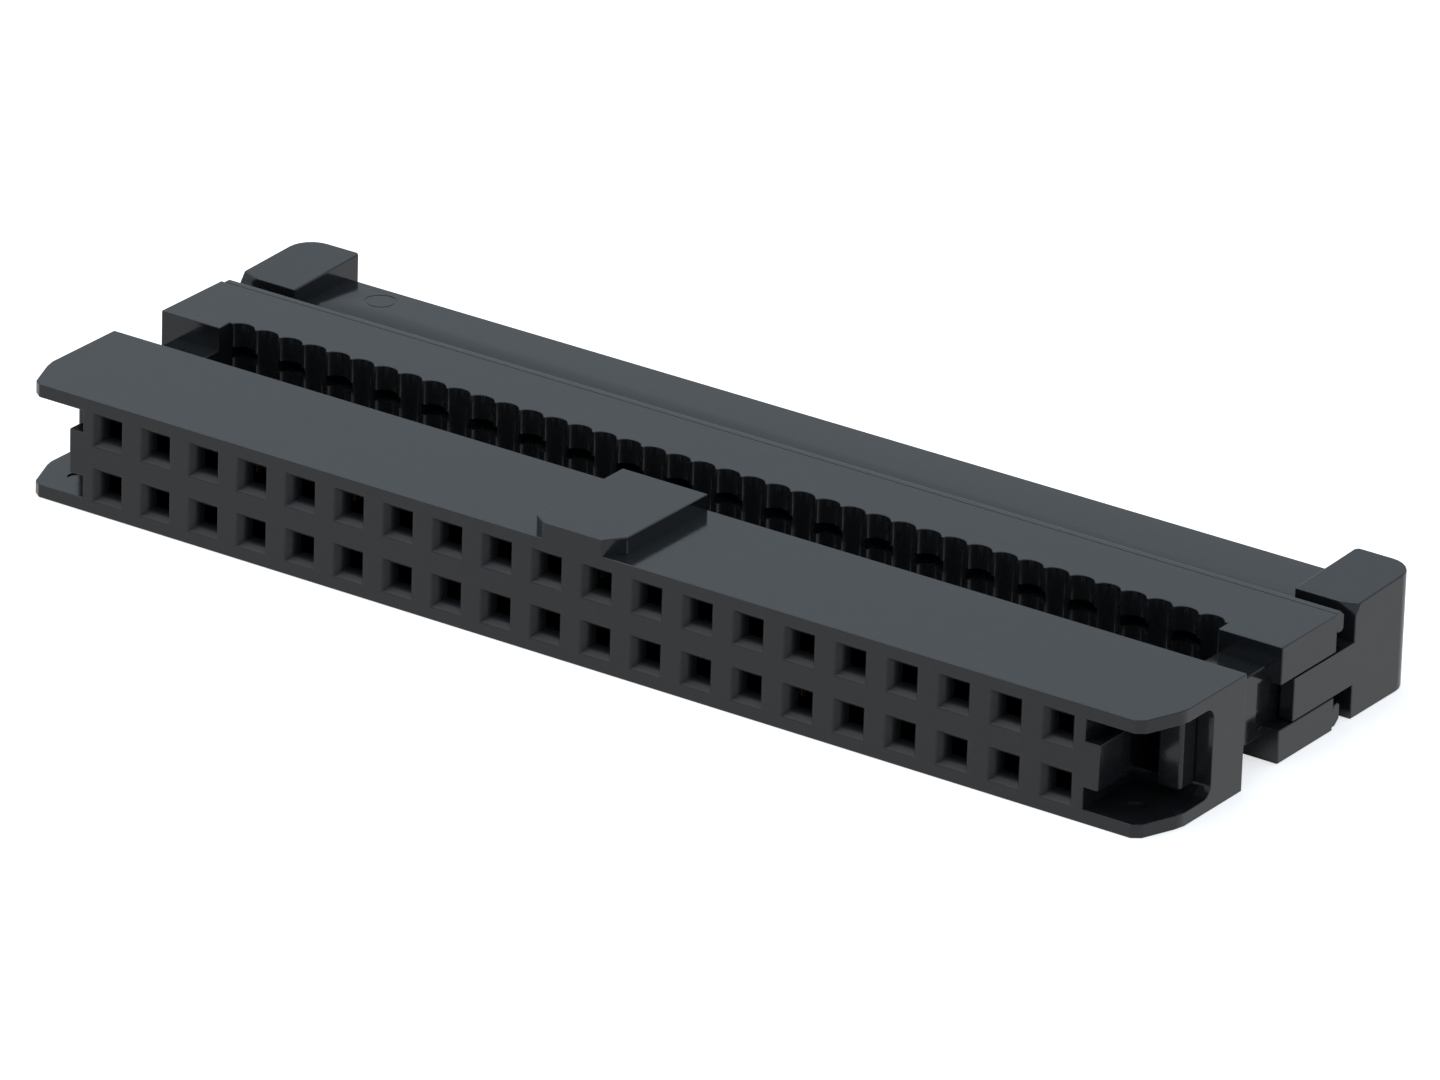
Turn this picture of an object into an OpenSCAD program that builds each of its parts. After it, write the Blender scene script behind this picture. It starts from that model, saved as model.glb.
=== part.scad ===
/* [Contacts] */
// contact columns along the connector
columns = 20; // [5:1:32]
// pitch of the contact grid
pitch = 2.54; // [2.54:0.01:2.6]
// pitch of the flat cable's conductors
cable_pitch = 1.27; // [1.27:0.005:1.3]
// thickness of the contact strip
strip_t = 0.30; // [0.2:0.01:0.34]
// free gap between the two spring arms at the pinch
pin_gap = 0.50; // [0.4:0.02:0.6]
// how far the cutting forks stand out of the housing
fork_out = 2.20; // [1.6:0.05:2.5]
// width of the slot that takes a conductor
fork_slot = 0.18; // [0.12:0.01:0.26]

/* [Housing] */
// height of the housing without its key
body_h = 5.25; // [5.2:0.05:6]
// depth from the mating face to the cable side
body_d = 6.70; // [6.4:0.05:7.5]
// length from the last contact column to the outside of the end wall
end_reach = 4.76; // [4.5:0.01:5.2]
// length from the last contact column to the end of the contact block
block_reach = 1.32; // [1.2:0.01:1.4]
// thickness of the top and bottom plates over the end pockets
plate_t = 0.62; // [0.5:0.02:0.8]
// thickness of the end walls
wall_t = 0.95; // [0.8:0.05:1.05]
// depth of the open side windows
window_d = 4.25; // [3.6:0.05:4.3]
// side of the square pin holes
hole = 0.95; // [0.85:0.01:1.1]
// side of the lead-in mouth round each pin hole
mouth = 1.55; // [1.3:0.01:1.7]
// depth of the lead-in mouth
mouth_d = 0.40; // [0.2:0.05:0.6]
// width of the polarising key
key_w = 3.00; // [2:0.1:5]
// height of the polarising key
key_h = 0.74; // [0.5:0.02:1.2]

/* [Cover] */
// free gap between the housing and the cover's shoulders, the way the cover is pressed home
gap = 3.05; // [2.6:0.05:3.1]
// length from the last contact column to the end of the cover
cover_reach = 4.52; // [4.3:0.01:4.6]
// depth of the cover's shoulders
cover_d = 4.25; // [4:0.05:5]
// how far the scalloped middle lies behind the shoulders
scallop_back = 0.75; // [0.6:0.05:1]
// depth of the cable grooves
groove_d = 0.35; // [0.2:0.01:0.45]
// depth from the cover's back to the face of its two cable rails
pad_t = 0.75; // [0.5:0.05:0.8]
// height of the guide legs
leg_h = 3.10; // [2.4:0.1:3.2]
// height of the channels in the cover's ends
channel_h = 2.04; // [1.6:0.02:2.4]
// depth of the channels in the cover's ends
channel_t = 0.90; // [0.6:0.05:1]

/* [Strain relief] */
// space between the cover's rails and the strain relief
cable_space = 0.65; // [0.5:0.05:1.2]
// depth of the strain relief's bar
bar_d = 3.95; // [3:0.05:5]
// height of the bar between the ears
bar_h = 3.60; // [2.6:0.1:4]
// how far the ears' front edge stays below the top of the cover
ear_drop = 0.09; // [0:0.01:0.3]
// how far the ears' back rises above the top of the cover
ear_rise = 0.08; // [0:0.01:0.2]
// length of the ears
ear_l = 3.00; // [2.6:0.05:4]
// depth of the ears
ear_d = 4.80; // [4.2:0.05:5.2]
// radius of the ears' rear corners
ear_r = 1.20; // [0.6:0.05:1.5]
// length of the arms in the cover's channels
arm_l = 4.60; // [3.6:0.1:4.8]

/* [Hidden] */
rows = 2;
count = columns * rows;
function two(i) = str(i < 10 ? "0" : "", i);
function contact_name(i) = str("contact_", two(i));

fit = 0.10;                                   // running clearance
eps = 0.5;                                    // overcut
last_x = (columns - 1) / 2 * pitch;           // last contact column
body_x = last_x + end_reach;                  // half length of the housing
block_x = last_x + block_reach;               // half length of the contact block
wall_x = body_x - wall_t;                     // inside of an end wall
inner_z = body_h / 2 - plate_t;               // half height of an end pocket
row_z = pitch / 2;                            // height of a contact row
stagger = cable_pitch / 2;                    // sideways step of a fork
boss_t = 0.70;                                // catch on the contact block's end
boss_d = 2.40;
boss_h = 2.06;
chan_x = 0.80;                                // half size of a contact's chamber
chan_z = 0.50;
chan_y = [0.85, 5.20];                        // chamber from and to
fork_w = 0.62;                                // half width of a fork
slot_w = 0.05;                                // clearance round a fork in the housing

shoulder_y = body_d + gap;                    // front of the cover's shoulders
cover_x = last_x + cover_reach;               // half length of the cover
cusp_y = shoulder_y + scallop_back;           // tips between the cable grooves
cover_y = shoulder_y + cover_d;               // back of the cover's body
pad_y = cover_y + pad_t;                      // back of the cover's pad
channel_z = -0.10;                            // mid height of the end channels
leg_x = [block_x + 0.07, wall_x - 0.10];      // a guide leg from and to
leg_root = 5.55;                              // where the leg gets thinner
leg_tip = gap + 0.10;                         // front of the leg's hook
hook_t = 0.26;                                // how far the hook stands out
hook_y = window_d - 0.05;                     // back of the hook

relief_y = pad_y + cable_space;               // front of the strain relief
relief_back = relief_y + bar_d;
ear_in = cover_x - ear_l;                     // inside of an ear
rail_z = [1.61, body_h / 2 - 0.21];           // a cable rail from and to at its back
rail_rise = 0.15;                             // how much higher its front edge is
rail_y = cover_y + 0.22;                      // front of the rails, behind their groove

module at_holes() {
    for (c = [0:columns - 1]) translate([(c - (columns - 1) / 2) * pitch, 0, 0]) children();
}

// the profile in the first two axes carried along the third, centred
module slab(h) { translate([0, 0, -h / 2]) linear_extrude(h) children(); }

// a profile drawn in (Y, Z) carried along X from a to b
module along_x(a, b) {
    translate([a, 0, 0]) rotate([90, 0, 90]) linear_extrude(b - a) children();
}

// a profile drawn in (X, Z) carried along Y from a to b
module along_y(a, b) {
    translate([0, b, 0]) rotate([90, 0, 0]) linear_extrude(b - a) children();
}

// plan of the housing, with the rounded-off front corners of its plates
module housing_plan() {
    nose_x = body_x - 1.10;
    polygon([
        [-nose_x, 0], [nose_x, 0], [nose_x + 0.38, 0.28], [body_x - 0.12, 1.80],
        [body_x, 2.30], [body_x, body_d - 0.06], [body_x - 0.06, body_d],
        [-body_x + 0.06, body_d], [-body_x, body_d - 0.06], [-body_x, 2.30],
        [-body_x + 0.12, 1.80], [-nose_x - 0.38, 0.28]]);
}

// one end pocket: an open window to the front and side, and the leg's passage behind it
module end_pocket() {
    reach = body_x - block_x + 1;
    corner = 0.55;
    difference() {
        along_x(block_x, block_x + reach)
            union() {
                translate([-eps, -inner_z]) square([window_d + eps - corner, 2 * inner_z]);
                translate([-eps, -inner_z + corner])
                    square([window_d + eps, 2 * inner_z - 2 * corner]);
                for (s = [-1, 1]) translate([window_d - corner, s * (inner_z - corner)])
                    circle(corner, $fn = 32);
            }
        translate([block_x - eps, -1, -boss_h / 2]) cube([boss_t + eps, boss_d + 1, boss_h]);
    }
    translate([block_x, boss_d, -leg_h / 2 - fit])
        cube([wall_x - block_x, body_d - boss_d + eps, leg_h + 2 * fit]);
    for (s = [-1, 1]) translate([body_x - 1.9, 1.65, -inner_z - 0.06])
        cylinder(h = 0.5, r = 0.42, $fn = 32);
}

// pin holes with their mouths and the chambers of the contacts
module pin_ways() {
    intersection() {
        at_holes() slab(body_h - 0.4) {
            polygon([[-mouth / 2 - 0.1, -mouth_d * 0.2 / (mouth - hole)],
                     [mouth / 2 + 0.1, -mouth_d * 0.2 / (mouth - hole)],
                     [hole / 2, mouth_d], [hole / 2, chan_y[0]], [chan_x, chan_y[0]],
                     [chan_x, chan_y[1]], [-chan_x, chan_y[1]], [-chan_x, chan_y[0]],
                     [-hole / 2, chan_y[0]], [-hole / 2, mouth_d]]);
        }
        for (s = [-1, 1]) translate([0, 0, s * row_z])
            along_x(-block_x, block_x)
                polygon([[-mouth_d * 0.2 / (mouth - hole), -mouth / 2 - 0.1],
                         [-mouth_d * 0.2 / (mouth - hole), mouth / 2 + 0.1],
                         [mouth_d, hole / 2], [chan_y[0], hole / 2], [chan_y[0], chan_z],
                         [chan_y[1], chan_z], [chan_y[1], -chan_z], [chan_y[0], -chan_z],
                         [chan_y[0], -hole / 2], [mouth_d, -hole / 2]]);
    }
    // passages of the forks, stepped sideways by half a conductor
    for (s = [-1, 1]) at_holes()
        translate([0, 0, s * row_z]) mirror([s < 0 ? 1 : 0, 0, 0])
            translate([-stagger - fork_w - slot_w, chan_y[1] - 0.01, -strip_t / 2 - 0.03])
                cube([stagger + fork_w + slot_w + chan_x, body_d - chan_y[1] + eps,
                      strip_t + 0.06]);
}

module housing() {
    color("dimgray") {
        difference() {
            slab(body_h) housing_plan();
            end_pocket();
            mirror([1, 0, 0]) end_pocket();
            pin_ways();
        }
        translate([0, 0, body_h / 2])
            along_y(0, body_d) polygon([
                [-key_w / 2, -0.2], [key_w / 2, -0.2], [key_w / 2, key_h - 0.12],
                [key_w / 2 - 0.12, key_h], [-key_w / 2 + 0.12, key_h],
                [-key_w / 2, key_h - 0.12]]);
    }
}

// plan of the cover: two shoulders and a middle with one groove for each conductor
module cover_plan() {
    half = block_x + 0.05;
    chord = cable_pitch - 0.12;
    r = (chord * chord / 4 + groove_d * groove_d) / (2 * groove_d);
    difference() {
        translate([-cover_x, shoulder_y]) square([2 * cover_x, cover_d]);
        translate([-half, shoulder_y - eps]) square([2 * half, scallop_back + eps]);
        for (i = [0:count - 1])
            translate([(i - (count - 1) / 2) * cable_pitch, cusp_y + groove_d - r])
                circle(r, $fn = 36);
    }
}

// guide leg with its outward hook, on the +X side
module leg() {
    slab(leg_h) polygon([
        [leg_x[0], shoulder_y + 0.5], [leg_x[0], leg_root + 0.4], [leg_x[0] + 0.4, leg_root],
        [leg_x[1] - 0.90, leg_root], [leg_x[1] - 0.90, leg_tip + 0.1],
        [leg_x[1] - 0.80, leg_tip], [leg_x[1] + hook_t - 0.08, leg_tip],
        [leg_x[1] + hook_t, leg_tip + 0.12], [leg_x[1] + hook_t, hook_y],
        [leg_x[1], hook_y], [leg_x[1], shoulder_y + 0.5]]);
}

// what a strain relief arm and its catch take up in the cover's end
module arm_way(extra) {
    translate([cover_x - channel_t, shoulder_y - eps, channel_z - channel_h / 2])
        cube([channel_t + eps, cover_d + pad_t + 2 * eps, channel_h]);
    catch(extra);
}

module catch(extra) {
    x = cover_x - channel_t;
    y = relief_y - arm_l + 0.9;
    translate([0, 0, channel_z])
        slab(1.1 + 2 * extra) polygon([
            [x + 0.1, y - extra], [x - 0.32 - extra, y + 0.45], [x - 0.32 - extra, y + 0.85],
            [x + 0.1, y + 0.85]]);
}

module cover() {
    color("slategray") difference() {
        union() {
            slab(body_h) cover_plan();
            // cable rails along the back, each on a neck that leaves a fine groove
            for (s = [-1, 1]) mirror([0, 0, s < 0 ? 1 : 0]) {
                along_x(-cover_x + 0.15, cover_x - 0.15)
                    polygon([[rail_y, rail_z[0] + 0.12], [rail_y + 0.12, rail_z[0]],
                             [pad_y - 0.12, rail_z[0]], [pad_y, rail_z[0] + 0.12],
                             [pad_y, rail_z[1] - 0.06], [pad_y - 0.06, rail_z[1]],
                             [rail_y + 0.05, rail_z[1] + rail_rise],
                             [rail_y, rail_z[1] + rail_rise - 0.05]]);
                translate([-cover_x + 0.50, cover_y - 0.2, rail_z[0] + 0.12])
                    cube([2 * cover_x - 1.0, 0.6, 0.36]);
            }
            leg();
            mirror([1, 0, 0]) leg();
        }
        for (m = [0, 1]) mirror([m, 0, 0]) arm_way(0.06);
        // pockets that take the forks when the cover is pressed home
        for (s = [-1, 1]) at_holes() translate([-s * stagger, 0, s * row_z])
            translate([-fork_w - fit, cusp_y - eps, -strip_t / 2 - fit])
                cube([2 * (fork_w + fit), eps + gap + fork_out - scallop_back - gap + 0.3,
                      strip_t + 2 * fit]);
    }
}

// outline of the strain relief's right ear from the front, with a small fillet at its foot
module ear_profile() {
    low = bar_h / 2;
    f = 0.25;
    foot = [for (a = [0:30:90]) [ear_in - f + f * sin(a), low + f - f * cos(a)]];
    half = concat([[ear_in - f, 0]], foot, [[ear_in, body_h], [cover_x, body_h], [cover_x, 0]]);
    polygon(half);
    mirror([0, 1]) polygon(half);
}

// plan of an ear, with a wide radius at its outer rear corner
module ear_plan() {
    back = relief_y + ear_d;
    polygon(concat(
        [[cover_x, relief_y], [ear_in - eps, relief_y], [ear_in - eps, relief_back],
         [ear_in, relief_back], [ear_in, back - 0.15], [ear_in + 0.15, back]],
        [for (a = [0:15:90]) [cover_x - ear_r + ear_r * sin(a),
                              back - ear_r + ear_r * cos(a)]]));
}

// an ear: its top climbs a little to the back, its outer front corner is cut off askew
module ear() {
    back = relief_y + ear_d;
    front_z = body_h / 2 - ear_drop;
    difference() {
        intersection() {
            along_y(relief_y, back) ear_profile();
            slab(body_h + 1) ear_plan();
            along_x(ear_in - 1, cover_x + 1)
                polygon([[relief_y, -body_h / 2], [relief_y, front_z],
                         [back, body_h / 2 + ear_rise], [back, -body_h / 2]]);
        }
        translate([cover_x - 0.94, relief_y, front_z]) rotate([0, 25.4, 0])
            rotate([50, 0, 0]) translate([-0.5, -1, 0]) cube([2.5, 3, 1]);
    }
}

module arm() {
    x = cover_x - channel_t;
    tip = relief_y - arm_l;
    translate([0, 0, channel_z]) slab(channel_h - 0.12)
        polygon([[x, relief_y + 0.3], [x, tip + 0.25], [x + 0.25, tip],
                 [cover_x - 0.03, tip], [cover_x, tip + 0.03], [cover_x, relief_y + 0.3]]);
    catch(0);
}

module strain_relief() {
    color("darkslategray") difference() {
        union() {
            along_x(-ear_in - 0.3, ear_in + 0.3)
                polygon([[relief_y, -bar_h / 2 + 0.2], [relief_y + 0.2, -bar_h / 2],
                         [relief_back - 0.2, -bar_h / 2], [relief_back, -bar_h / 2 + 0.2],
                         [relief_back, bar_h / 2 - 0.08], [relief_back - 0.08, bar_h / 2],
                         [relief_y + 0.3, bar_h / 2], [relief_y, bar_h / 2 - 0.2]]);
            for (m = [0, 1]) mirror([m, 0, 0]) {
                ear();
                arm();
            }
        }
        // shallow ring left by the mould
        translate([-ear_in + 2.15, relief_y + 2.1, bar_h / 2 - 0.05]) difference() {
            cylinder(h = 0.3, r = 0.75, $fn = 40);
            cylinder(h = 0.3, r = 0.60, $fn = 40);
        }
    }
}

// a contact's blank in its own plane: two spring arms to the front, a stepped cutting fork
module contact_blank() {
    f = -stagger;                             // middle of the fork
    g = pin_gap / 2;
    out = body_d + fork_out;
    polygon([
        [0.44, 1.05], [g, 1.65], [g, 1.95], [0.44, 2.70], [0.40, 4.00], [0.20, 4.25],
        [-0.20, 4.25], [-0.40, 4.00], [-0.44, 2.70], [-g, 1.95], [-g, 1.65], [-0.44, 1.05],
        [-0.64, 1.05], [-0.55, 1.70], [-0.74, 4.00], [-0.76, 4.60], [-chan_x, 4.95],
        [-chan_x, chan_y[1]], [f - fork_w, chan_y[1]], [f - fork_w, out - 0.45],
        [f - 0.36, out], [f - fork_slot / 2, out - 0.45], [f - fork_slot / 2, body_d + 0.25],
        [f + fork_slot / 2, body_d + 0.25], [f + fork_slot / 2, out - 0.45],
        [f + 0.36, out], [f + fork_w, out - 0.45], [f + fork_w, body_d - 0.45],
        [chan_x - 0.04, body_d - 0.75], [chan_x - 0.04, 5.0], [chan_x, 4.95],
        [0.76, 4.60], [0.74, 4.00], [0.55, 1.70], [0.64, 1.05]]);
}

module contact(i) {
    row = i % 2 == 1 ? 1 : -1;                // odd ways lie in the upper row
    col = floor((i - 1) / 2);
    color("khaki")
        translate([(col - (columns - 1) / 2) * pitch, 0, row * row_z])
            mirror([row < 0 ? 1 : 0, 0, 0]) slab(strip_t) contact_blank();
}

housing();
cover();
strain_relief();
for (i = [1:count]) contact(i);
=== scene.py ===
# %% [markdown]
# # Ribbon-cable socket
# A long black socket for flat cable: a moulded housing with two rows of pin ways, a toothed cover that
# is pressed on to the cable, and a strain relief clipped behind it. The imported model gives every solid
# in metres, X along the rows, Y from the mating face backwards, Z up. This lesson dresses those solids:
# first the camera and the light, then the finishes, then the pieces one after another.

# %% Load the frame
import bpy
import bmesh
import math
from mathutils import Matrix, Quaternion, Vector


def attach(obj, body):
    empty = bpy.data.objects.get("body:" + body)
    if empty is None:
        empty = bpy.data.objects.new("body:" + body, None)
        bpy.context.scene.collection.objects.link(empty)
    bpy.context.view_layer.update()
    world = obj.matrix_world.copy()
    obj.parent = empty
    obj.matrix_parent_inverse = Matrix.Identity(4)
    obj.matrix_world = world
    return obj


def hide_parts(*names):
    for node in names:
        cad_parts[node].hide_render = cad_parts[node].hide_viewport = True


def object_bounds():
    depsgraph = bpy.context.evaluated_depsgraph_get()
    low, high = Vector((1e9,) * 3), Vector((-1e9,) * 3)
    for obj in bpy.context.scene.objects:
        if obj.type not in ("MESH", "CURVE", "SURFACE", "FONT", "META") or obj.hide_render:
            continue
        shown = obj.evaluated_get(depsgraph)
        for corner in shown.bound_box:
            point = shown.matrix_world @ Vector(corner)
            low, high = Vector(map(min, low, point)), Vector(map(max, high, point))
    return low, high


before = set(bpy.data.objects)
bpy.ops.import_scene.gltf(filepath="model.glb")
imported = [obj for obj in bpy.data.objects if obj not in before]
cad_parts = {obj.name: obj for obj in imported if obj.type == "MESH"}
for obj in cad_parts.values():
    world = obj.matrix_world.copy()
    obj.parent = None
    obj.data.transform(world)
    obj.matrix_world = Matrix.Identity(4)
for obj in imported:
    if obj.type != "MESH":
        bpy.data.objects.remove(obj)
cad_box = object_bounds()
MM = 0.001
print("cad box mm", [[round(v / MM, 2) for v in p] for p in cad_box])

# %% [markdown]
# ## The camera
# A product view is taken from far away with a long lens, so that parallel edges stay nearly parallel.
# The camera stands in front, to the right and above. It is placed from an aim point, two angles and a
# distance, which is easier to adjust than a raw position, and rolled a little about its own axis.

# %% Camera
AIM = Vector((0.7225, 9.860, -0.230)) * MM
AZIMUTH, ELEVATION, ROLL = math.radians(34.004), math.radians(23.652), math.radians(1.773)
DISTANCE = 517.7 * MM
FOCAL_LENGTH, SENSOR_WIDTH = 307.8, 36.0
NEAREST, FARTHEST = 0.01, 10.0

back = Vector((math.sin(AZIMUTH) * math.cos(ELEVATION),
               -math.cos(AZIMUTH) * math.cos(ELEVATION), math.sin(ELEVATION)))
lens = bpy.data.cameras.new("product_view")
lens.lens, lens.sensor_width = FOCAL_LENGTH, SENSOR_WIDTH
lens.clip_start, lens.clip_end = NEAREST, FARTHEST
camera = bpy.data.objects.new("product_view", lens)
bpy.context.scene.collection.objects.link(camera)
camera.rotation_mode = "QUATERNION"
camera.rotation_quaternion = (-back).to_track_quat("-Z", "Y") @ Quaternion((0, 0, 1), ROLL)
camera.location = AIM + back * DISTANCE
bpy.context.scene.camera = camera
print("camera at mm", [round(v / MM, 1) for v in camera.location])

# %% [markdown]
# ## Light
# Black moulded plastic shows its form through reflections more than through its own colour. So it needs
# a bright, even room: a pale, faintly blue world all round, and one wide, soft lamp overhead, a little to
# the left, which warms the upper faces and gives the part a soft shadow. More lamps would each leave
# their own square in the glossy skin.

# %% World and lamp
SKY_COLOUR, SKY_STRENGTH = (0.80, 0.90, 1.0, 1.0), 0.70
LAMP_PLACE, LAMP_TARGET = Vector((-0.24, -0.03, 0.52)), Vector((0, 0.01, 0))
LAMP_SIZE, LAMP_POWER, LAMP_COLOUR = 0.50, 1.3, (1.0, 0.99, 0.97)

scene = bpy.context.scene
scene.view_settings.view_transform = "Standard"
world = bpy.data.worlds.new("studio")
scene.world = world
world.use_nodes = True
sky = world.node_tree.nodes["Background"]
sky.inputs["Color"].default_value = SKY_COLOUR
sky.inputs["Strength"].default_value = SKY_STRENGTH

softbox = bpy.data.lights.new("overhead", "AREA")
softbox.shape, softbox.size = "SQUARE", LAMP_SIZE
softbox.energy, softbox.color = LAMP_POWER, LAMP_COLOUR
overhead = bpy.data.objects.new("overhead", softbox)
scene.collection.objects.link(overhead)
overhead.location = LAMP_PLACE
overhead.rotation_mode = "QUATERNION"
overhead.rotation_quaternion = (LAMP_TARGET - LAMP_PLACE).to_track_quat("-Z", "Y")
print("lamp", overhead.name, softbox.energy, "W")

# %% [markdown]
# ## Floor
# The part lies on a sheet of white paper. The paper is an ordinary diffuse white, which takes the part's
# soft shadow, and it glows a little for camera rays alone, so it is seen as white without lighting the
# part. For glossy rays the paper is swapped for a plain glow, a painted reflection of a bright sheet.
# Close under the part, where a real sheet gets little light, that glow is dimmed by painted shade: its
# brightness follows how open the paper is at each place, measured by ambient occlusion.

# %% Floor sheet
FLOOR_REACH = 3.0


def new_material(name):
    material = bpy.data.materials.new(name)
    material.use_nodes = True
    material.node_tree.nodes.clear()
    return material, material.node_tree.nodes, material.node_tree.links


floor_z = cad_box[0].z
corners = [(x * FLOOR_REACH, y * FLOOR_REACH, floor_z) for x, y in [(-1, -1), (1, -1), (1, 1), (-1, 1)]]
floor_mesh = bpy.data.meshes.new("floor")
floor_mesh.from_pydata(corners, [], [(0, 1, 2, 3)])
floor = bpy.data.objects.new("floor", floor_mesh)
scene.collection.objects.link(floor)
print("floor at mm", round(floor_z / MM, 3))

# %% Floor paper
PAPER_WHITE, PAPER_GLOW = (0.86, 0.86, 0.86, 1), 0.62
# Painted reflection: the paper's glow for glossy rays, dimmed by painted shade where the paper is shut in.
REFLECTION_GLOW_WHITE, REFLECTION_GLOW_LEVEL = (0.97, 0.98, 1.0, 1), 0.77
OPEN_WITHIN, SHUT, OPEN = 5.0 * MM, 0.10, 0.42

paper, nodes, links = new_material("floor_paper")
out = nodes.new("ShaderNodeOutputMaterial")
path = nodes.new("ShaderNodeLightPath")
lit = nodes.new("ShaderNodeBsdfDiffuse")
lit.inputs["Color"].default_value = PAPER_WHITE
gain = nodes.new("ShaderNodeMath")
gain.operation = "MULTIPLY"
gain.inputs[1].default_value = PAPER_GLOW
glow = nodes.new("ShaderNodeEmission")
glow.inputs["Color"].default_value = (1, 1, 1, 1)
both = nodes.new("ShaderNodeAddShader")
links.new(path.outputs["Is Camera Ray"], gain.inputs[0])
links.new(gain.outputs[0], glow.inputs["Strength"])
links.new(lit.outputs[0], both.inputs[0])
links.new(glow.outputs[0], both.inputs[1])

# Painted shade: ambient occlusion dims the reflected glow under and between the parts.
occlusion_shade = nodes.new("ShaderNodeAmbientOcclusion")
occlusion_shade.samples = 8
occlusion_shade.inputs["Distance"].default_value = OPEN_WITHIN
level = nodes.new("ShaderNodeMapRange")
level.inputs["From Min"].default_value = SHUT
level.inputs["From Max"].default_value = OPEN
level.inputs["To Max"].default_value = REFLECTION_GLOW_LEVEL
reflection_glow = nodes.new("ShaderNodeEmission")
reflection_glow.inputs["Color"].default_value = REFLECTION_GLOW_WHITE
links.new(occlusion_shade.outputs["AO"], level.inputs["Value"])
links.new(level.outputs["Result"], reflection_glow.inputs["Strength"])

mirrored = nodes.new("ShaderNodeMixShader")
links.new(path.outputs["Is Glossy Ray"], mirrored.inputs[0])
links.new(both.outputs[0], mirrored.inputs[1])
links.new(reflection_glow.outputs[0], mirrored.inputs[2])
links.new(mirrored.outputs[0], out.inputs["Surface"])
floor.data.materials.append(paper)
print("floor material", paper.name, "nodes", len(nodes))

# %% [markdown]
# ## Helpers for finishes
# Each finish below is a tree of nodes, and the same few steps come back in all of them: stretch a texture
# to a range of values, take a noise at a given fineness, lay a relief of a given depth over another, and
# measure the place on the object in millimetres. They could be node groups. Functions are shorter, and
# they leave every constant on the shader's own sockets.

# %% Node helpers
def value_range(nodes, links, source, low, high):
    """Map a 0-1 texture on to low-high."""
    node = nodes.new("ShaderNodeMapRange")
    node.inputs["To Min"].default_value = low
    node.inputs["To Max"].default_value = high
    links.new(source, node.inputs["Value"])
    return node.outputs["Result"]


def noise(nodes, links, place, per_mm, detail=2.0, rough=0.5):
    """A noise texture with so many features in a millimetre."""
    node = nodes.new("ShaderNodeTexNoise")
    node.inputs["Scale"].default_value = per_mm
    node.inputs["Detail"].default_value = detail
    node.inputs["Roughness"].default_value = rough
    links.new(place, node.inputs["Vector"])
    return node.outputs["Fac"]


def bump(nodes, links, height, depth_mm, below=None):
    """Relief of a given depth in millimetres, on top of the relief below it."""
    node = nodes.new("ShaderNodeBump")
    node.inputs["Distance"].default_value = depth_mm * MM
    node.inputs["Strength"].default_value = 1.0
    links.new(height, node.inputs["Height"])
    if below is not None:
        links.new(below, node.inputs["Normal"])
    return node.outputs["Normal"]


def place_in_mm(nodes, links, shift=(0, 0, 0), stretch=(1, 1, 1)):
    """Object coordinates, scaled from metres to millimetres."""
    here = nodes.new("ShaderNodeTexCoord")
    scale = nodes.new("ShaderNodeMapping")
    scale.inputs["Location"].default_value = shift
    scale.inputs["Scale"].default_value = [1000.0 * k for k in stretch]
    links.new(here.outputs["Object"], scale.inputs["Vector"])
    return scale.outputs["Vector"]


print("texture helpers ready")

# %% [markdown]
# ## Charcoal moulded plastic
# The housing, cover and strain relief are moulded from glass-filled polyester, black right through. Its
# own colour is almost nothing, so what is seen is the room in its skin. Three things keep that skin from
# looking like paint: the fine spark-eroded grain of the mould, a slow waviness where the plastic has
# shrunk over ribs and cavities, and a gloss that changes a little from place to place. All of them are
# measured in millimetres of the object itself, so they stay put when the camera or a joint moves.

# %% Moulded skin
PLASTIC_IOR = 1.5
WAVE_MM, GRAIN_MM = 0.009, 0.0012
DARKEST, LIGHTEST = 0.70, 1.45


def moulded(name, tint, seed, gloss):
    """Plastic with a tint, a seed that shifts its pattern, and the range of its roughness."""
    material, nodes, links = new_material(name)
    out = nodes.new("ShaderNodeOutputMaterial")
    skin = nodes.new("ShaderNodeBsdfPrincipled")
    skin.inputs["IOR"].default_value = PLASTIC_IOR
    links.new(skin.outputs[0], out.inputs["Surface"])
    place = place_in_mm(nodes, links, shift=(seed, 2 * seed, -seed))
    along_rows = place_in_mm(nodes, links, shift=(seed, 0, 0), stretch=(0.35, 1.0, 1.0))

    fibres = noise(nodes, links, along_rows, 5.0, 4.0, 0.65)
    tone = nodes.new("ShaderNodeMix")
    tone.data_type = "RGBA"
    tone.inputs["A"].default_value = (*[c * DARKEST for c in tint], 1)
    tone.inputs["B"].default_value = (*[c * LIGHTEST for c in tint], 1)
    links.new(value_range(nodes, links, fibres, -0.2, 1.2), tone.inputs["Factor"])
    links.new(tone.outputs["Result"], skin.inputs["Base Color"])

    clouds = noise(nodes, links, place, 0.45, 3.0, 0.6)
    links.new(value_range(nodes, links, clouds, *gloss), skin.inputs["Roughness"])

    pits = nodes.new("ShaderNodeTexVoronoi")
    pits.feature = "SMOOTH_F1"
    pits.inputs["Scale"].default_value = 9.0
    links.new(place, pits.inputs["Vector"])
    spark = bump(nodes, links, pits.outputs["Distance"], GRAIN_MM)
    soft = bump(nodes, links, noise(nodes, links, place, 2.6, 3.0, 0.55), 1.2 * GRAIN_MM, spark)
    sink = bump(nodes, links, noise(nodes, links, place, 0.30, 2.0), WAVE_MM, soft)
    links.new(sink, skin.inputs["Normal"])
    return material


print("skin relief mm", GRAIN_MM, "grain,", WAVE_MM, "waves")
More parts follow.
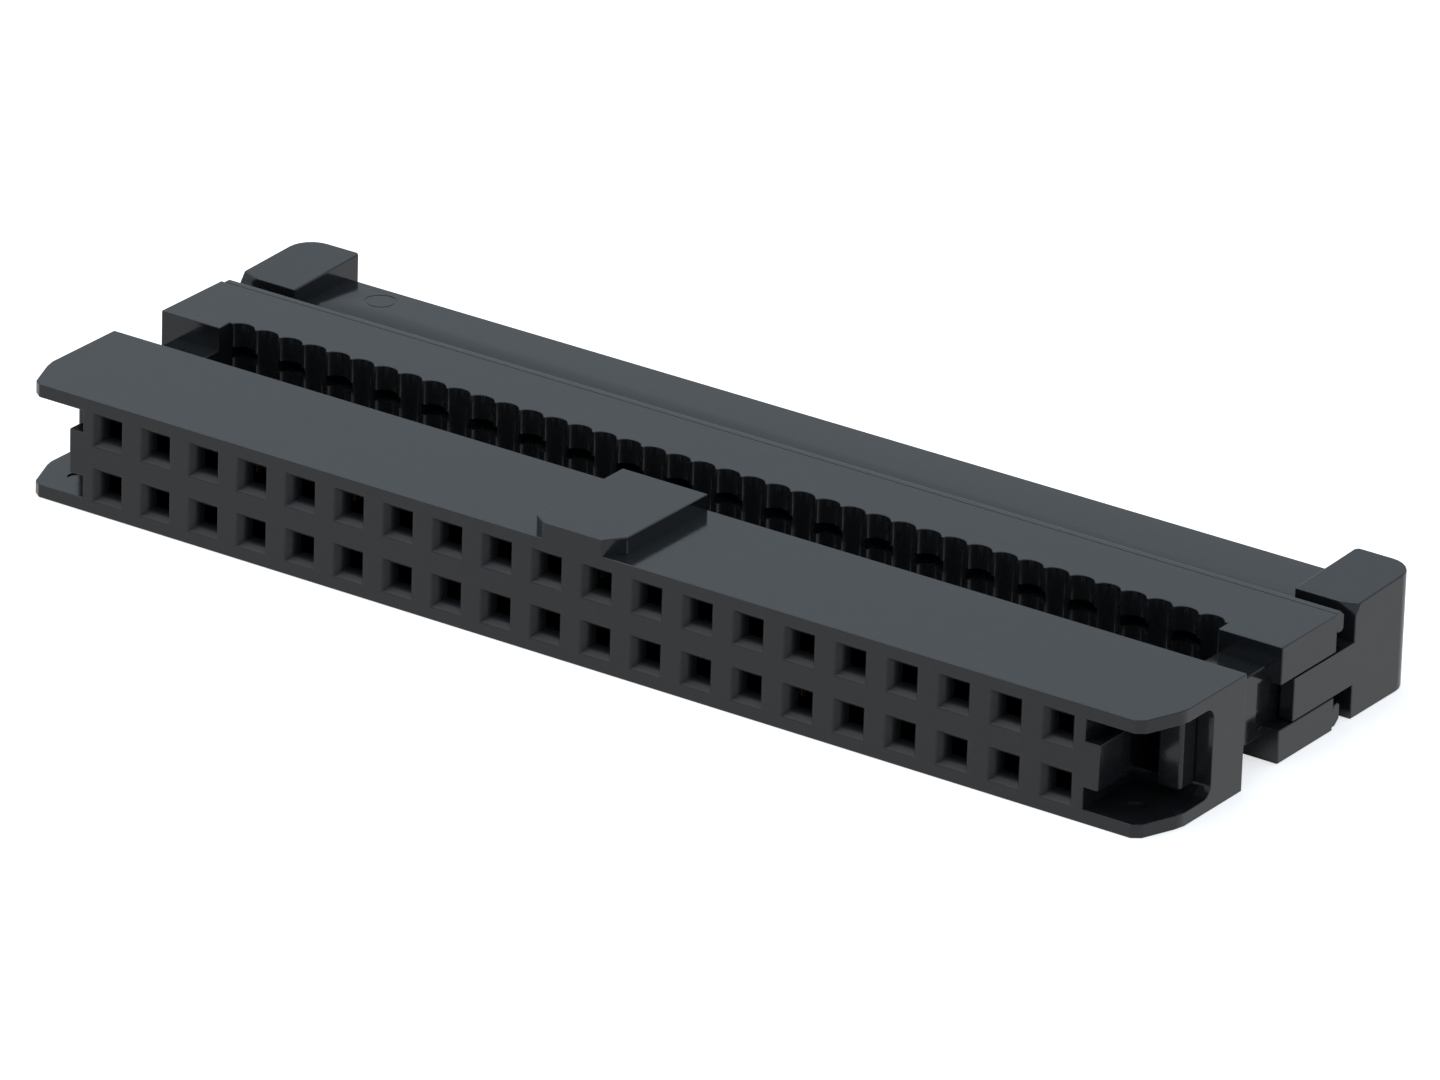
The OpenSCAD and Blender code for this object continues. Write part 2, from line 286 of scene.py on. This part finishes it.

# %% [markdown]
# ## Three conditions of the same plastic
# The flat skin is as glossy as the polished mould. Along the edges it is rubbed a little duller by
# handling, and its tint there is painted a little lighter: a painted highlight as well as wear. The mouths
# of the pin holes are shaped by slender spark-eroded pins, which nobody polishes, so the plastic in there
# is matt; its tint is painted lighter too, painted light on slopes that shade off softly into the hole.

# %% Plastic finishes
CHARCOAL = (0.0095, 0.0108, 0.0120)
GLOSSY, RUBBED, MATT = (0.10, 0.16), (0.20, 0.32), (0.40, 0.52)
SEEDS = {"housing": 3.0, "cover": 17.0, "strain_relief": 41.0}
# The edge tint is 1.2 times lighter: a painted highlight along the bevels, as well as wear.
highlight_and_wear_tint = tuple(1.2 * c for c in CHARCOAL)
# The mouth tint is 1.4 times lighter: painted light on the lead-in slopes, beside their real matt
# roughness.
matt_lit_tint = tuple(1.4 * c for c in CHARCOAL)

skins = {name: moulded(name + "_plastic", CHARCOAL, seed, GLOSSY) for name, seed in SEEDS.items()}
worn_and_highlit = {name: moulded(name + "_edges", highlight_and_wear_tint, seed, RUBBED) for name, seed in SEEDS.items()}
eroded_and_lit = moulded("mouth_plastic", matt_lit_tint, SEEDS["housing"], MATT)
print("skins", list(skins), "and their worn edges, and the matt", eroded_and_lit.name)

# %% [markdown]
# ## The polarising key
# The key on the housing keeps the socket from being plugged in the wrong way round. On the real part it is
# wider than in the solid, and its two front corners are cut off, one longer than the other, to lead it
# into its slot. It could be pulled into shape point by point. Pressing the old key flat and joining a new
# prism on with a boolean is cleaner, as the prism's plan is then simply a list of its corners.

# %% Key
KEY_FRONT, KEY_HALF, KEY_TOP, KEY_ROOT = 1.50, 2.17, 3.365, 0.20
KEY_LEFT_CUT, KEY_RIGHT_CUT = 0.50, 0.92
BODY_BACK, BODY_TOP = 6.70, 2.625
SAME_PLACE, NO_LENGTH = 1e-6, 1e-7


def cleaned(shape):
    """Weld the points that a correction has brought together."""
    bmesh.ops.remove_doubles(shape, verts=shape.verts, dist=SAME_PLACE)
    bmesh.ops.dissolve_degenerate(shape, dist=NO_LENGTH, edges=shape.edges)


def without_key(shape):
    for vert in shape.verts:
        vert.co.z = min(vert.co.z, BODY_TOP * MM)
    cleaned(shape)


def key_solid():
    plan = [(-KEY_FRONT, 0), (KEY_FRONT, 0), (KEY_HALF, KEY_RIGHT_CUT), (KEY_HALF, BODY_BACK),
            (-KEY_HALF, BODY_BACK), (-KEY_HALF, KEY_LEFT_CUT)]
    shape = bmesh.new()
    low, high = [[shape.verts.new(Vector((x, y, z)) * MM) for x, y in plan]
                 for z in (BODY_TOP - KEY_ROOT, KEY_TOP)]
    shape.faces.new(low[::-1])
    shape.faces.new(high)
    for k in range(len(plan)):
        n = (k + 1) % len(plan)
        shape.faces.new([low[k], low[n], high[n], high[k]])
    mesh = bpy.data.meshes.new("key_solid")
    shape.to_mesh(mesh)
    shape.free()
    return mesh


print("key is", 2 * KEY_HALF, "mm wide,", round(KEY_TOP - BODY_TOP, 2), "mm high")

# %% [markdown]
# ## The cover's cable rails
# Two rails run along the cover's back. They lie close behind it, with only a fine, shallow line between.
# They are prisms along X, so every point of one line has the same Y and Z, and moving the rail's profile
# is a table from old to new. The cover's shoulders are also set flush with the legs below them.

# %% Rail correction
RAIL_MOVES = [((14.22, 2.515), (14.14, 2.570)),    # front of the rail's crest, below its chamfer
              ((14.27, 2.565), (14.17, 2.590)),    # front of the crest, above the chamfer
              ((14.69, 2.415), (14.46, 2.585)),    # back of the crest
              ((14.75, 2.355), (14.75, 2.360)),    # top of the rail's back
              ((14.00, 2.090), (14.00, 2.440)),    # top of the neck, at the cover
              ((14.22, 2.090), (14.152, 2.440))]   # top of the neck, at the rail
SHOULDER_SIDE, LEG_SIDE = 25.50, 25.52


def near(value, target, reach=0.02):
    return abs(value - target) < reach


def closer_rails(shape):
    for vert in shape.verts:
        y, z = vert.co.y / MM, vert.co.z / MM
        for (y0, z0), (y1, z1) in RAIL_MOVES:
            if near(y, y0) and near(abs(z), z0):
                vert.co.y, vert.co.z = y1 * MM, math.copysign(z1 * MM, z)
                break
        if near(abs(vert.co.x) / MM, SHOULDER_SIDE, 0.005):
            vert.co.x = math.copysign(LEG_SIDE * MM, vert.co.x)
    cleaned(shape)


print("rail profile has", len(RAIL_MOVES), "corrected lines")

# %% [markdown]
# ## The strain relief's bar
# The bar between the ears starts with a long slope, which guides the folded cable under it. A push-out
# pin of the mould has left a faint ring near the left ear, and the ears stand on the bar with no fillet.

# %% Bar correction
BAR_TOP, SLOPE_TOP, LONG_SLOPE_TOP = 1.80, 15.70, 16.30
RING_X, RING_Y, RING_REACH, RING_FLOOR = -23.50, 17.50, 0.80, 1.785
RING_RIGHT, RING_BACK = 0.51, 0.56
EAR_INSIDE, FILLET = 25.65, 0.26


def sloped_bar(shape):
    for vert in shape.verts:
        x, y, z = vert.co / MM
        if near(y, SLOPE_TOP) and near(z, BAR_TOP) and abs(x) < EAR_INSIDE + 0.05:
            y = LONG_SLOPE_TOP
        if near(z, BAR_TOP, 0.06) and math.hypot(x - RING_X, y - RING_Y) < RING_REACH:
            x, y, z = x + RING_RIGHT, y + RING_BACK, max(z, RING_FLOOR)
        if EAR_INSIDE - FILLET < abs(x) < EAR_INSIDE + 0.01 and 1.5 < abs(z) < BAR_TOP + FILLET:
            x, z = math.copysign(EAR_INSIDE, x), math.copysign(min(abs(z), BAR_TOP), z)
        vert.co = Vector((x, y, z)) * MM
    cleaned(shape)


print("bar slopes from mm", LONG_SLOPE_TOP, "instead of", SLOPE_TOP)

# %% [markdown]
# ## Softened edges
# No moulded edge is a perfect knife edge. The mould is cut with small tools and polished by hand, so each
# edge is rounded by a few hundredths of a millimetre and catches a thin line of light, and it is where
# handling leaves its first dull marks. A bevel node in the material would only pretend this. Here a copy
# of each solid gets a real bevel from a modifier. These helpers apply a modifier to a mesh at once.

# %% Modifier helpers
def modified(mesh, kind, **settings):
    """The mesh that a modifier makes from this one."""
    blank = bpy.data.objects.new("blank", mesh)
    scene.collection.objects.link(blank)
    modifier = blank.modifiers.new(kind.lower(), kind)
    for key, value in settings.items():
        setattr(modifier, key, value)
    depsgraph = bpy.context.evaluated_depsgraph_get()
    result = bpy.data.meshes.new_from_object(blank.evaluated_get(depsgraph))
    bpy.data.objects.remove(blank)
    return result


def joined(mesh, added):
    tool = bpy.data.objects.new("tool", added)
    scene.collection.objects.link(tool)
    result = modified(mesh, "BOOLEAN", operation="UNION", solver="EXACT", object=tool)
    bpy.data.objects.remove(tool)
    return result


print("modifier helpers ready")

# %% [markdown]
# ## Normals beside the bevels
# In a glossy skin the smallest error of a normal shows as a smear across a flat face. Smooth shading
# alone would bend every flat face towards its bevels. So the normals are set corner by corner: on a face
# they come from that face and from facets of the same curve, and a bevel takes up the normals of the two
# faces that it joins. Where three bevels meet, their own mean is used.

# %% Steady normals
SHARP = math.radians(28)
SKIN, EDGE, MOUTH = 0, 1, 2


def steady_normals(mesh):
    """Flat faces stay flat, facets of a curve flow together, and a rounding leads from face to face."""
    shape = bmesh.new()
    shape.from_mesh(mesh)

    def blended(face, vert):
        mates = [f for f in vert.link_faces
                 if f.material_index == SKIN and f.normal.dot(face.normal) > math.cos(SHARP)]
        return sum((f.normal * f.calc_area() ** 2 for f in mates), face.normal * 1e-20).normalized()

    normals = []
    for face in shape.faces:
        for vert in face.verts:
            if face.material_index == SKIN:
                normals.append(blended(face, vert))
                continue
            skin = [f for f in vert.link_faces if f.material_index == SKIN]
            if skin:
                nearest = max(skin, key=lambda f: f.normal.dot(face.normal))
                normals.append(blended(nearest, vert))
            else:
                mates = [f for f in vert.link_faces if f.normal.dot(face.normal) > 0.2]
                normals.append(sum((f.normal * f.calc_area() for f in mates),
                                   face.normal * 1e-20).normalized())
    shape.free()
    mesh.polygons.foreach_set("use_smooth", [True] * len(mesh.polygons))
    mesh.normals_split_custom_set(normals)


print("edges count as sharp from degrees", round(math.degrees(SHARP), 1))

# %% [markdown]
# ## One rounded copy of a solid
# The solid's flat facets are joined up again, and a narrow bevel is put on the convex edges that turn by
# more than 28 degrees. Inside corners stay as they are, because a mould leaves them crisp. An edge beside
# very short neighbours gets less, through its bevel weight, so that no two bevels run into each other,
# and one that would get almost nothing gets none. The copy then takes the solid's place in the model.

# %% Rounded copy
FLAT = math.radians(0.5)
ROOM_NEEDED, LEAST_SHARE = 2.4, 0.25


def weigh_edges(shape, radius_mm, is_rim, rim_mm, stays_sharp):
    """Give each edge that is to be rounded its share of the widest bevel, and count them."""
    weight = shape.edges.layers.float.new("bevel_weight_edge")
    widest = max(radius_mm, rim_mm)
    rounded = 0
    for edge in shape.edges:
        if edge.calc_face_angle(0.0) < SHARP or not edge.is_convex:
            continue
        if stays_sharp(edge):
            continue
        radius = rim_mm if is_rim(edge) else radius_mm
        room = min(e.calc_length() for v in edge.verts for e in v.link_edges) / MM
        share = min(1.0, room / (ROOM_NEEDED * radius))
        if share < LEAST_SHARE:
            continue
        edge[weight] = share * radius / widest
        rounded += 1
    return widest, rounded


def nowhere(edge_or_place):
    return False


def rounded_copy(node_name, body, radius_mm, materials, reshape, added=None, stays_sharp=nowhere,
                 is_rim=nowhere, rim_mm=0.0, is_mouth=nowhere):
    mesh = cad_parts[node_name].data.copy()
    mesh.materials.clear()
    shape = bmesh.new()
    shape.from_mesh(mesh)
    bmesh.ops.remove_doubles(shape, verts=shape.verts, dist=SAME_PLACE)
    reshape(shape)
    shape.to_mesh(mesh)
    shape.free()
    if added is not None:
        mesh = joined(mesh, added)
    shape = bmesh.new()
    shape.from_mesh(mesh)
    bmesh.ops.dissolve_limit(shape, angle_limit=FLAT, verts=shape.verts, edges=shape.edges)
    widest, rounded = weigh_edges(shape, radius_mm, is_rim, rim_mm, stays_sharp)
    shape.to_mesh(mesh)
    shape.free()
    for material in materials:
        mesh.materials.append(material)
    # The bevel faces take the edge material, whose lighter tint is a painted highlight as well as wear.
    mesh = modified(mesh, "BEVEL", limit_method="WEIGHT", width=widest * MM, segments=2, material=EDGE,
                    use_clamp_overlap=False, miter_outer="MITER_SHARP")
    steady_normals(mesh)
    # The mouth faces take the matt plastic, whose lighter tint is painted light.
    for polygon in mesh.polygons:
        if is_mouth(polygon.center / MM):
            polygon.material_index = MOUTH
    piece = bpy.data.objects.new(node_name + "_moulded", mesh)
    scene.collection.objects.link(piece)
    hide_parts(node_name)
    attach(piece, body)
    print(piece.name, "edges rounded", rounded, "faces", len(mesh.polygons))
    return piece


# %% [markdown]
# ## The housing
# The housing is the fixed half. Its pin holes have mouths that are blended wide, as a lead-in has to be,
# and matt inside, with a lighter tint that is painted light. The shallow round hollows in its end pockets
# are too thin for a bevel and stay sharp.

# %% Housing
ROWS_REACH, BLOCK_REACH = 2.1, 25
MOUTH_DEPTH, HOLE_DEPTH = 0.41, 1.6


def within(edge, test):
    """Whether both ends of an edge pass a test of |x|, y and |z| in millimetres."""
    return all(test(abs(v.co.x) / MM, v.co.y / MM, abs(v.co.z) / MM) for v in edge.verts)


def is_mouth_rim(edge):
    return within(edge, lambda x, y, z: 0.01 < y < MOUTH_DEPTH and z < ROWS_REACH and x < BLOCK_REACH)


def is_inside_hole(place):
    return (0.002 < place.y < HOLE_DEPTH and abs(place.z) < ROWS_REACH
            and abs(place.x) < BLOCK_REACH)


def is_hollow(edge):
    return within(edge, lambda x, y, z: x > 26 and 1.0 < y < 2.2 and near(z, 2.005, 0.08))


housing = rounded_copy("housing", "socket", 0.06, (skins["housing"], worn_and_highlit["housing"], eroded_and_lit),
                       reshape=without_key, added=key_solid(), stays_sharp=is_hollow,
                       is_rim=is_mouth_rim, rim_mm=0.20, is_mouth=is_inside_hole)

# %% [markdown]
# ## The cover
# The cover is the half that moves: it is pressed towards the housing to clamp the cable. The cusps between
# its cable grooves are left sharp, since they have to part the cable's web, and so are the small pockets
# that take the forks of the contacts and the crisp back edge that stands beside the rails.

# %% Cover
def is_fine_cover_edge(edge):
    one, other = (v.co for v in edge.verts)
    is_upright = abs(one.x - other.x) < SAME_PLACE and abs(one.y - other.y) < SAME_PLACE
    return (is_upright and within(edge, lambda x, y, z: y < 11.0 and x < BLOCK_REACH)
            or within(edge, lambda x, y, z: y > 10.0 and abs(z - 1.27) < 0.30 and x < 25.9)
            or within(edge, lambda x, y, z: near(y, 14.0) and near(z, BODY_TOP)))


cover = rounded_copy("cover", "cap", 0.06, (skins["cover"], worn_and_highlit["cover"]),
                     reshape=closer_rails, stays_sharp=is_fine_cover_edge)

# %% [markdown]
# ## The strain relief
# The strain relief is clipped to the cover and moves with it. It is handled most, so its edges are the
# roundest. The faint ring on its bar keeps its crisp rims, as it is only a few hundredths deep.

# %% Strain relief
def is_ring(edge):
    return within(edge, lambda x, y, z: abs(x - 22.99) < 0.8 and abs(y - 18.06) < 0.8 and z > 1.7)


strain_relief = rounded_copy("strain_relief", "cap", 0.07,
                             (skins["strain_relief"], worn_and_highlit["strain_relief"]),
                             reshape=sloped_bar, stays_sharp=is_ring)

# %% [markdown]
# ## Tinned contacts
# The contacts are punched from bronze strip that was tinned before it was punched. So their broad faces
# are soft grey tin, slightly clouded, and their cut edges show the bare, warmer bronze with the fine
# lines that the punch leaves across them. Which face is which follows from the direction it looks in,
# so one material does for all forty, and the solids themselves are crisp enough to be shown as they are.

# %% Contact metal
BRONZE, TIN, STAIN = (0.34, 0.22, 0.11, 1), (0.42, 0.41, 0.39, 1), (0.72, 0.70, 0.68, 1)
BRONZE_BELOW, TIN_ABOVE = 0.55, 0.85
PUNCH_LINE_MM = 0.002


def punched_strip(name):
    material, nodes, links = new_material(name)
    out = nodes.new("ShaderNodeOutputMaterial")
    metal = nodes.new("ShaderNodeBsdfPrincipled")
    metal.inputs["Metallic"].default_value = 1.0
    links.new(metal.outputs[0], out.inputs["Surface"])
    place = place_in_mm(nodes, links)

    facing = nodes.new("ShaderNodeTexCoord")
    parts = nodes.new("ShaderNodeSeparateXYZ")
    links.new(facing.outputs["Normal"], parts.inputs[0])
    size = nodes.new("ShaderNodeMath")
    size.operation = "ABSOLUTE"
    links.new(parts.outputs["Z"], size.inputs[0])
    broad = nodes.new("ShaderNodeMapRange")
    broad.inputs["From Min"].default_value = BRONZE_BELOW
    broad.inputs["From Max"].default_value = TIN_ABOVE
    links.new(size.outputs[0], broad.inputs["Value"])

    colour = nodes.new("ShaderNodeMix")
    colour.data_type = "RGBA"
    colour.inputs["A"].default_value = BRONZE
    colour.inputs["B"].default_value = TIN
    links.new(broad.outputs["Result"], colour.inputs["Factor"])
    clouds = noise(nodes, links, place, 3.0, 4.0, 0.6)
    stained = nodes.new("ShaderNodeMix")
    stained.data_type = "RGBA"
    stained.blend_type = "MULTIPLY"
    stained.inputs["B"].default_value = STAIN
    links.new(value_range(nodes, links, clouds, 0.0, 0.9), stained.inputs["Factor"])
    links.new(colour.outputs["Result"], stained.inputs["A"])
    links.new(stained.outputs["Result"], metal.inputs["Base Color"])
    links.new(value_range(nodes, links, clouds, 0.34, 0.55), metal.inputs["Roughness"])

    across = place_in_mm(nodes, links, stretch=(1.0, 1.0, 0.1))
    lines = noise(nodes, links, across, 12.0, 3.0, 0.6)
    links.new(bump(nodes, links, lines, PUNCH_LINE_MM), metal.inputs["Normal"])
    return material


strip = punched_strip("tinned_bronze")
contacts = [node for name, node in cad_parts.items() if name.startswith("contact")]
for node in contacts:
    node.data.materials.clear()
    node.data.materials.append(strip)
print("contacts", len(contacts))
